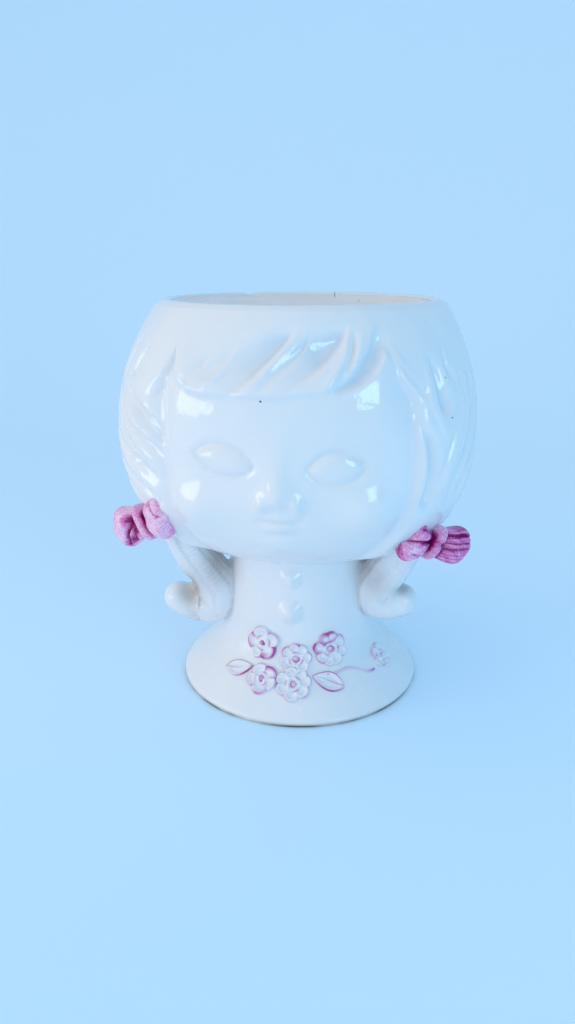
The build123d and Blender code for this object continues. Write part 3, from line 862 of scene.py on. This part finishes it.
def pigtail(side):
    lock, shape = clay_lock(side), PIGTAILS[side]
    mirror, path = (shape["sign"], 1, 1), np.array(shape["path"])
    points, normals = points_of(lock), read(lock, "normal")
    steps = np.linspace(0, len(path) - 1, SAMPLES)
    course = np.stack([np.interp(steps, np.arange(len(path)), path[:, k]) for k in range(4)], axis=1)
    line, thick = course[:, :3] * mirror, course[:, 3]
    gaps = np.linalg.norm(points[:, None] - line[None], axis=2)
    best = gaps.argmin(axis=1)
    down = best / (SAMPLES - 1)
    offset = (points - line[best]) * mirror
    ring = np.arctan2(offset[:, 1], offset[:, 0])
    grooves = sum(high * np.cos(count * ring + twist * down) for count, twist, high in STRANDS)
    grooves *= fade(0.02, 0.15, down) * (1 - fade(0.72, 0.9, down))
    grooves *= 1 - fade(1.05, 1.35, gaps.min(axis=1) / thick[best])
    from_hollow = (points - np.array(shape["hollow"]) * mirror) * shape["squeeze"]
    scoop = bell(np.linalg.norm(from_hollow, axis=1), shape["reach"])
    points += normals * (grooves - shape["deep"] * scoop)[:, None]
    move_points(lock, points)
    paint(lock, "stain", CURL_DIRT * scoop**0.7 + CREVICE_DIRT * crevice_stain(points))
    settle(lock, "white_glaze", f"pigtail_{side}")
    return lock


pigtails = [pigtail(side) for side in PIGTAILS]

# %% Dirt on the neck, a dark line along the bottom edge of the foot, and its duller foot
neck_points = points_of(neck)
outer_side = np.hypot(neck_points[:, 0], neck_points[:, 1]) > FOOT_RADIUS - 1.5
# A dark blue-grey line is painted along the bottom edge of the foot, in the stain attribute.
foot_line = FOOT_LINE_DARKNESS * bell(neck_points[:, 2] - 0.4, 1.1) * outer_side
paint(neck, "stain", NECK_DIRT * crevice_stain(neck_points) + foot_line)
paint(neck, "matt", 0.16 * fade(34, 24, neck_points[:, 2]))

# %% [markdown]
# ## Bows
# Each bow is a fat ribbon of clay: two loops gathered under a knot. A loop starts as a sphere that is
# drawn out into a cushion shape, wider at its far end, with deep folds that run to the knot. Each of the
# folds is a line between two places, each given along and across the loop, with its width and depth. The
# pink glaze lies thin on the high places and dark in the folds, partly as pooled pink and partly as
# painted shade. Painted shade also darkens the roots of the loops and the sides of the knot, where they
# meet, and an attribute records all of this. A bow has a side, a middle, a turn round the head and a
# droop, and a knot is a rounded box with half sizes, a lean, a shift and one crease.

# %% Shapes of the loops and knots
BOWS = {
    "left": (-1, (56.5, -41.6, 81.2), 29, 22),
    "right": (1, (55.8, -35.9, 77.0), 37, 12),
}
# In each wash entry the numbers are the loop's tint, its brush streaks, and how far from the root painted
# shade reaches.
LOOPS = {
    "left_outer": {
        "spread": (6.4, 8.6), "square": 4, "lean": 0.0, "cut": (0.0, 1.0), "wash": (-0.2, 0.08, 0.14),
        "folds": [
            (0.14, 0.35, 0.56, -0.8, 0.17, 2.3), (0.14, 0.35, 0.0, -0.95, 0.22, 2.4),
            (0.22, -0.3, 0.28, -0.75, 0.3, 1.9),
        ],
    },
    "left_inner": {
        "spread": (6.2, 8.8), "square": 4, "lean": 0.0, "cut": (0.0, 1.0), "wash": (-0.24, 0.12, 0.44),
        "folds": [(0.62, 0.75, 0.8, 0.1, 0.12, 1.2), (0.1, 0.3, 0.26, -0.7, 0.14, 1.6)],
    },
    "right_outer": {
        "spread": (6.6, 8.6), "square": 7, "lean": 0.08, "cut": (0.0, 0.78), "wash": (0.42, 0.2, 0.2),
        "folds": [
            (0.1, 0.6, 1.0, 0.62, 0.08, 1.4), (0.1, -0.3, 0.8, -0.1, 0.07, 0.7),
            (0.2, 0.1, 0.9, 0.25, 0.06, 0.6),
        ],
    },
    "right_inner": {
        "spread": (5.0, 8.0), "square": 4, "lean": -0.16, "cut": (0.34, 1.0), "wash": (0.12, 0.16, 0.22),
        "folds": [
            (0.1, 0.1, 1.0, 0.12, 0.1, 2.0), (0.1, 0.75, 0.7, 0.7, 0.1, 0.6),
            (0.2, -0.8, 0.7, -0.5, 0.1, 0.5),
        ],
    },
}
LOOP_START, LOOP_LENGTH, KNOT_CREASE = 1.4, 14.2, 0.9
KNOTS = {
    "left": ((2.0, 4.6, 7.6), 0.2, -0.6, (0.9, 0.0, 0.0), 0.3),
    "right": ((2.0, 5.4, 6.6), 0.4, -0.2, (0.3, 1.0, 0.4), 1.2),
}


def seat(points, sign, middle, turn, droop):
    d, t = math.radians(droop), math.radians(turn)
    x = points[:, 0] * math.cos(d) + points[:, 2] * math.sin(d)
    z = points[:, 2] * math.cos(d) - points[:, 0] * math.sin(d)
    y = points[:, 1]
    x, y = x * math.cos(t) - y * math.sin(t), x * math.sin(t) + y * math.cos(t)
    return np.stack([sign * (x + middle[0]), y + middle[1], z + middle[2]], axis=1)


# %% Loops
def loop(side, place):
    shape = LOOPS[f"{side}_{place}"]
    (root, end), (notch, upper), (tint, streaks, shade) = shape["spread"], shape["cut"], shape["wash"]
    way = 1 if place == "outer" else -1
    piece, p = ball(f"glazed_bow_{side}_{place}", 128, 80, (0, math.pi / 2, 0))
    s = (p[:, 0] + 1) / 2
    ring = np.hypot(p[:, 1], p[:, 2]) + 1e-9
    full = np.clip(1 - np.abs(2 * s - 1) ** shape["square"], 0, 1) ** 0.5
    spread = root + (end - root) * fade(0, 0.75, s)
    thick = 2.2 + 3.4 * fade(0.02, 0.5, s)
    across = np.sign(p[:, 2]) * np.abs(p[:, 2] / ring) ** 0.75
    z = across * full * spread * np.where(across > 0, upper, 1)
    y = p[:, 1] / ring * full * thick
    cut = notch * (bell(across - 0.1, 0.3) + 0.6 * fade(0.1, 0.6, across)) * fade(0.2, 1, s)
    x = LOOP_START + LOOP_LENGTH * s * (1 - cut) + 0.7 * np.cos(2.6 * across) * s + shape["lean"] * z
    front = fade(0.05, 0.6, -p[:, 1] / ring)
    # Darker pink in the folds: partly pooled pink, partly painted shade.
    deep_pink_and_shade = np.zeros(len(p))
    for s0, a0, s1, a1, wide, deep in shape["folds"]:
        share = np.clip((s - s0) / (s1 - s0), 0, 1)
        gap = np.hypot(across - a0 - share * (a1 - a0), 0.9 * (s - s0 - share * (s1 - s0)))
        pressed = bell(gap, wide * (1.25 - 0.5 * share)) * front
        y = y + deep * pressed
        deep_pink_and_shade = np.maximum(deep_pink_and_shade, pressed * min(1.5, 0.35 + 0.5 * deep))
    y = y + 0.25 * front * np.sin(7 * across + 5 * s + way) * full
    brush = np.sin(23 * across + 6 * s) * np.sin(9 * across - 11 * s + 2 * way)
    brush += 0.6 * np.sin(37 * across - 9 * s)
    move_points(piece, seat(np.stack([way * x, y, z], axis=1), *BOWS[side]))
    edges = 0.35 * fade(0.8, 1, np.abs(across)) * fade(0.3, 0.6, s)
    # The last term is painted shade at the root of the loop, next to the knot.
    paint(piece, "pink_and_shade", tint + deep_pink_and_shade + streaks * brush * front + edges + 0.95 * (1 - fade(0.06, shade, s)))
    settle(piece, "bow_glaze", f"bow_{side}_{place}_loop")
    return piece


# %% Knots
def knot(side):
    half, lean, shift, crease, deep = KNOTS[side]
    piece, p = ball(f"glazed_bow_{side}_knot", 96, 64)
    x, y, z = (np.sign(p[:, k]) * np.abs(p[:, k]) ** 0.7 * half[k] for k in range(3))
    front = fade(0.05, 0.6, -p[:, 1])
    pressed = bell(crease[0] * x + crease[1] * z - crease[2], KNOT_CREASE) * front
    y = y + deep * pressed
    x = x + lean * z + shift
    move_points(piece, seat(np.stack([x, y, z], axis=1), *BOWS[side]))
    # Painted shade darkens both ends of the knot, where it meets the loops; its crease holds pooled pink.
    paint(piece, "pink_and_shade", 0.5 * deep * pressed - 0.15 + 1.05 * fade(0.72, 0.97, np.abs(p[:, 0])))
    settle(piece, "bow_glaze", f"bow_{side}_knot")
    return piece


bows = []
for side in BOWS:
    bows += [loop(side, "outer"), loop(side, "inner"), knot(side)]
print("bow pieces:", len(bows))

# %% [markdown]
# ## Shared glaze effects
# Three effects turn up in more than one finish, so one node group makes them all and has a socket for
# each: a slow mottle of the glaze's thickness, tiny pinholes, and a ripple of its surface. It puts out
# plain values, and each material decides what to do with them. The helpers below make a node and fill its
# sockets, with a link where the value is another node's socket.


# %% Node helpers
def plug(tree, value, socket):
    if hasattr(value, "is_linked"):
        tree.links.new(value, socket)
    else:
        socket.default_value = value


def node(tree, kind, sockets=(), **values):
    made = tree.nodes.new(kind)
    for name, value in values.items():
        setattr(made, name, value)
    for name in sockets:
        plug(tree, sockets[name], made.inputs[name])
    return made


def mix_colour(tree, share, first, second):
    return node(tree, "ShaderNodeMix", {0: share, 6: first, 7: second}, data_type="RGBA").outputs[2]


def maths(tree, what, first, second):
    return node(tree, "ShaderNodeMath", {0: first, 1: second}, operation=what).outputs[0]


def ramp(tree, value, low, high):
    sockets = {"Value": value, "From Min": low, "From Max": high}
    return node(tree, "ShaderNodeMapRange", sockets, interpolation_type="SMOOTHSTEP").outputs["Result"]


def here(tree, space="Object"):
    return node(tree, "ShaderNodeTexCoord").outputs[space]


def reading(tree, name):
    return node(tree, "ShaderNodeAttribute", attribute_name=name).outputs["Fac"]


def colour(red, green, blue):
    linear = (c / 12.92 if c <= 0.04045 else ((c + 0.055) / 1.055) ** 2.4 for c in (red, green, blue))
    return (*linear, 1.0)


# %% Group for the life of a glaze
MOTTLE_SCALE, RIPPLE_SCALE, PINHOLE_SCALE, PINHOLE_SHARE = 40.0, 130.0, 88, 0.955
life = bpy.data.node_groups.new("glaze_life", "ShaderNodeTree")
life.interface.new_socket("Scale", in_out="INPUT", socket_type="NodeSocketFloat")
for name in ("Mottle", "Pinholes", "Ripple"):
    life.interface.new_socket(name, in_out="OUTPUT", socket_type="NodeSocketFloat")
scale, place = node(life, "NodeGroupInput").outputs["Scale"], here(life)
slow = {"Vector": place, "Scale": maths(life, "MULTIPLY", scale, MOTTLE_SCALE), "Detail": 3}
waves = {**slow, "Scale": maths(life, "MULTIPLY", scale, RIPPLE_SCALE), "Roughness": 0.45}
dots = node(life, "ShaderNodeTexVoronoi", {"Vector": place, "Scale": PINHOLE_SCALE})
chosen = node(life, "ShaderNodeSeparateColor", {"Color": dots.outputs["Color"]}).outputs[1]
few = ramp(life, dots.outputs["Distance"], 0.042, 0.026)
few = maths(life, "MULTIPLY", few, maths(life, "GREATER_THAN", chosen, PINHOLE_SHARE))
depth = node(life, "ShaderNodeSeparateXYZ", {"Vector": place}).outputs["Y"]
node(life, "NodeGroupOutput", {
    "Mottle": node(life, "ShaderNodeTexNoise", slow).outputs["Fac"],
    "Pinholes": maths(life, "MULTIPLY", few, ramp(life, depth, -0.054, -0.046)),
    "Ripple": node(life, "ShaderNodeTexNoise", waves).outputs["Fac"],
})
print("group sockets:", [s.name for s in life.interface.items_tree])

# %% Start and end of a glaze
GLAZE_IOR = 1.52


def start_glaze(name):
    material = bpy.data.materials.new(name)
    material.use_nodes = True
    effects = node(material.node_tree, "ShaderNodeGroup", {"Scale": 1.0}, node_tree=life).outputs
    return material, material.node_tree, effects


def end_glaze(material, tone, roughness, height, strength, distance, pieces):
    tree = material.node_tree
    waves = {"Height": height, "Strength": strength, "Distance": distance}
    normal = node(tree, "ShaderNodeBump", waves).outputs["Normal"]
    looks = {"Base Color": tone, "Roughness": roughness, "IOR": GLAZE_IOR, "Normal": normal}
    for name, value in looks.items():
        plug(tree, value, tree.nodes["Principled BSDF"].inputs[name])
    for piece in pieces:
        piece.data.materials.append(material)
    print(material.name, "on", len(pieces), "pieces")


# %% [markdown]
# ## White glaze
# A glossy white tin-like glaze with a cool cast. It is a little greyer where it runs thin, and bluer and
# darker in the grooves of the hair, partly as pooled glaze and partly as painted shade. It has a few dark
# pinholes and marks of use, holds brown dirt in the deepest crevices, turns dark grey in a line along the
# bottom edge of the foot, and is duller where it is dirty and at the worn foot.

# %% Marks of use on the white glaze: centre and half sizes, in millimetres
MARKS = [
    ((-4.8, -67, 134.8), (0.45, 4, 0.45)),
    ((52.4, -46.2, 138.9), (0.5, 1.4, 0.4)),
    ((56.4, -40.4, 140), (0.5, 1.4, 0.35)),
    ((59.6, -41.8, 126.2), (0.5, 1.4, 0.35)),
    ((19.7, 47.5, 161.0), (1.3, 3, 0.8)),
    ((8.6, 51, 163), (0.22, 2, 2.8)),
]


def marks(tree):
    spots, place = 0.0, here(tree)
    for centre, half in MARKS:
        spot = place
        for what, sizes in (("SUBTRACT", centre), ("DIVIDE", half)):
            sockets = {0: spot, 1: [value * MM for value in sizes]}
            spot = node(tree, "ShaderNodeVectorMath", sockets, operation=what).outputs["Vector"]
        reach = node(tree, "ShaderNodeVectorMath", {0: spot}, operation="LENGTH").outputs["Value"]
        spots = maths(tree, "MAXIMUM", ramp(tree, reach, 1.0, 0.6), spots)
    return spots


# %% White glaze
white, tree, effects = start_glaze("white_glaze")
tone = mix_colour(tree, effects["Mottle"], colour(0.925, 0.94, 0.96), colour(0.96, 0.96, 0.965))
# Painted shade: the grooves of the hair are tinted bluer and darker, partly as pooled glaze.
pooled_and_shaded = maths(tree, "MULTIPLY", reading(tree, "groove_pool_and_shade"), 0.32)
tone = mix_colour(tree, pooled_and_shaded, tone, colour(0.72, 0.83, 0.92))
dirt = maths(tree, "MULTIPLY", reading(tree, "stain"), ramp(tree, effects["Mottle"], 0.1, 0.6))
tone = mix_colour(tree, dirt, tone, colour(0.60, 0.54, 0.50))
# The darkest grey comes mostly from the line along the bottom edge of the foot.
tone = mix_colour(tree, ramp(tree, dirt, 0.65, 1.0), tone, colour(0.25, 0.25, 0.28))
spots = maths(tree, "MAXIMUM", effects["Pinholes"], marks(tree))
tone = mix_colour(tree, spots, tone, colour(0.25, 0.22, 0.22))
gloss = maths(tree, "ADD", maths(tree, "MULTIPLY", effects["Mottle"], 0.09), 0.055)
dull = maths(tree, "ADD", maths(tree, "MULTIPLY", dirt, 0.3), reading(tree, "matt"))
rough = maths(tree, "ADD", gloss, dull)
end_glaze(white, tone, rough, effects["Ripple"], 0.42, 0.0008, [head, neck, *buttons, *pigtails])

# %% [markdown]
# ## Bow glaze
# A pink-lilac wash over the white, pale on the high places and deep magenta in the folds, partly as pooled
# pink and partly as painted shade. Painted shade also darkens the roots of the loops and the sides of the
# knots. A fine grain breaks up the edges of the wash.

# %% Bow glaze
bow_pink, tree, effects = start_glaze("bow_glaze")
grain = node(tree, "ShaderNodeTexNoise", {"Vector": here(tree), "Scale": 1400, "Detail": 4}).outputs["Fac"]
uneven = maths(tree, "MULTIPLY", maths(tree, "SUBTRACT", grain, 0.5), 1.3)
uneven = maths(tree, "ADD", uneven, maths(tree, "SUBTRACT", effects["Ripple"], 0.5))
# The attribute holds pooled pink and painted shade, broken up by grain and ripple.
deep = maths(tree, "ADD", reading(tree, "pink_and_shade"), uneven)
tone = mix_colour(tree, ramp(tree, deep, -0.3, 0.42), colour(0.98, 0.83, 0.93), colour(0.90, 0.48, 0.76))
tone = mix_colour(tree, ramp(tree, deep, 0.35, 0.92), tone, colour(0.60, 0.05, 0.41))
end_glaze(bow_pink, tone, 0.14, effects["Ripple"], 0.25, 0.0008, bows)

# %% [markdown]
# ## Sprig glaze
# The flowers are white clay under the same glaze, with a thin pink wash that stayed in the hollows.

# %% Sprig glaze
sprig_white, tree, effects = start_glaze("sprig_glaze")
wash = maths(tree, "MULTIPLY", reading(tree, "pink"), maths(tree, "ADD", effects["Ripple"], 0.45))
tone = mix_colour(tree, effects["Mottle"], colour(0.92, 0.93, 0.955), colour(0.95, 0.945, 0.96))
tone = mix_colour(tree, ramp(tree, wash, 0.05, 0.6), tone, colour(0.87, 0.66, 0.83))
tone = mix_colour(tree, ramp(tree, wash, 0.5, 1.0), tone, colour(0.70, 0.29, 0.58))
end_glaze(sprig_white, tone, 0.1, effects["Ripple"], 0.15, 0.0006, sprigs)

# %% [markdown]
# ## Floor colour
# The floor glows a little for the camera and in reflections, and is paler for the light that it bounces,
# so that its blue stays even without colouring the whole pot.

# %% Floor colour
floor_blue = bpy.data.materials.new("floor_blue")
floor_blue.use_nodes = True
tree = floor_blue.node_tree
rays = node(tree, "ShaderNodeLightPath").outputs
seen = maths(tree, "ADD", rays["Is Camera Ray"], rays["Is Glossy Ray"])
looks = {
    "Base Color": mix_colour(tree, seen, colour(0.92, 0.96, 1.0), colour(0.77, 0.89, 0.98)),
    "Roughness": 0.9,
    "Emission Color": colour(0.76, 0.92, 1.0),
    "Emission Strength": maths(tree, "MULTIPLY", seen, 0.2),
}
for name, value in looks.items():
    plug(tree, value, tree.nodes["Principled BSDF"].inputs[name])
floor.data.materials.append(floor_blue)

# %% [markdown]
# ## Light
# A sky that is bright on the upper left and blue on the other side lights the pot from all round. Two soft
# windows stand low at either side, because a glossy glaze shows its curves only through what it reflects.
# Two fills add light without a reflection, and a small soft lamp inside lights the opening. The camera
# itself sees a pale even sky.

# %% World
SKY_BRIGHT_SIDE, SKY_STRENGTH = (-0.58, -0.50, 0.64), 0.8
SKY_BLUE, SKY_BRIGHT, SKY_SEEN = (0.0, 0.46, 0.89, 1), (0.95, 0.97, 1.0, 1), (0.52, 0.91, 1.2, 1)
world = bpy.data.worlds.new("soft_sky")
world.use_nodes = True
tree = world.node_tree
ways = {0: here(tree, "Generated"), 1: SKY_BRIGHT_SIDE}
facing = node(tree, "ShaderNodeVectorMath", ways, operation="DOT_PRODUCT").outputs["Value"]
sky = mix_colour(tree, ramp(tree, facing, -0.5, 1.05), SKY_BLUE, SKY_BRIGHT)
sky = mix_colour(tree, node(tree, "ShaderNodeLightPath").outputs["Is Camera Ray"], sky, SKY_SEEN)
for name, value in (("Color", sky), ("Strength", SKY_STRENGTH)):
    plug(tree, value, tree.nodes["Background"].inputs[name])
bpy.context.scene.world = world


# %% Lamps
def lamp(name, place, target, size, power, tint=(1, 1, 1), reflected=True):
    bpy.ops.object.light_add(type="AREA", location=place)
    light = bpy.context.object
    light.name = name
    light.data.shape = "RECTANGLE"
    light.data.size, light.data.size_y = size
    light.data.energy = power
    light.data.color = tint
    light.visible_glossy = reflected
    light.rotation_euler = (Vector(target) - Vector(place)).to_track_quat("-Z", "Y").to_euler()


LEFT, LEFT_SIZE, MIDDLE = (-0.57, -0.34, 0.12), (0.38, 0.14), (0, -0.04, 0.11)
lamp("left_window", LEFT, MIDDLE, LEFT_SIZE, 0.5)
lamp("left_fill", LEFT, MIDDLE, LEFT_SIZE, 0.28, reflected=False)
lamp("right_window", (0.47, -0.52, 0.21), MIDDLE, (0.19, 0.17), 0.62, (0.5, 0.82, 1.0))
lamp("blue_fill", (0.45, -0.25, 0.06), (0, -0.02, 0.05), (0.3, 0.1), 0.18, (0.12, 0.6, 1.0), False)
bpy.ops.object.light_add(type="POINT", location=(0.008, 0, 0.128))
opening_lamp = bpy.context.object
opening_lamp.name = "opening_lamp"
opening_lamp.data.shadow_soft_size = 0.02
opening_lamp.data.energy = 0.021
opening_lamp.visible_camera = False
opening_lamp.visible_glossy = False
bpy.context.scene.view_settings.view_transform = "Standard"
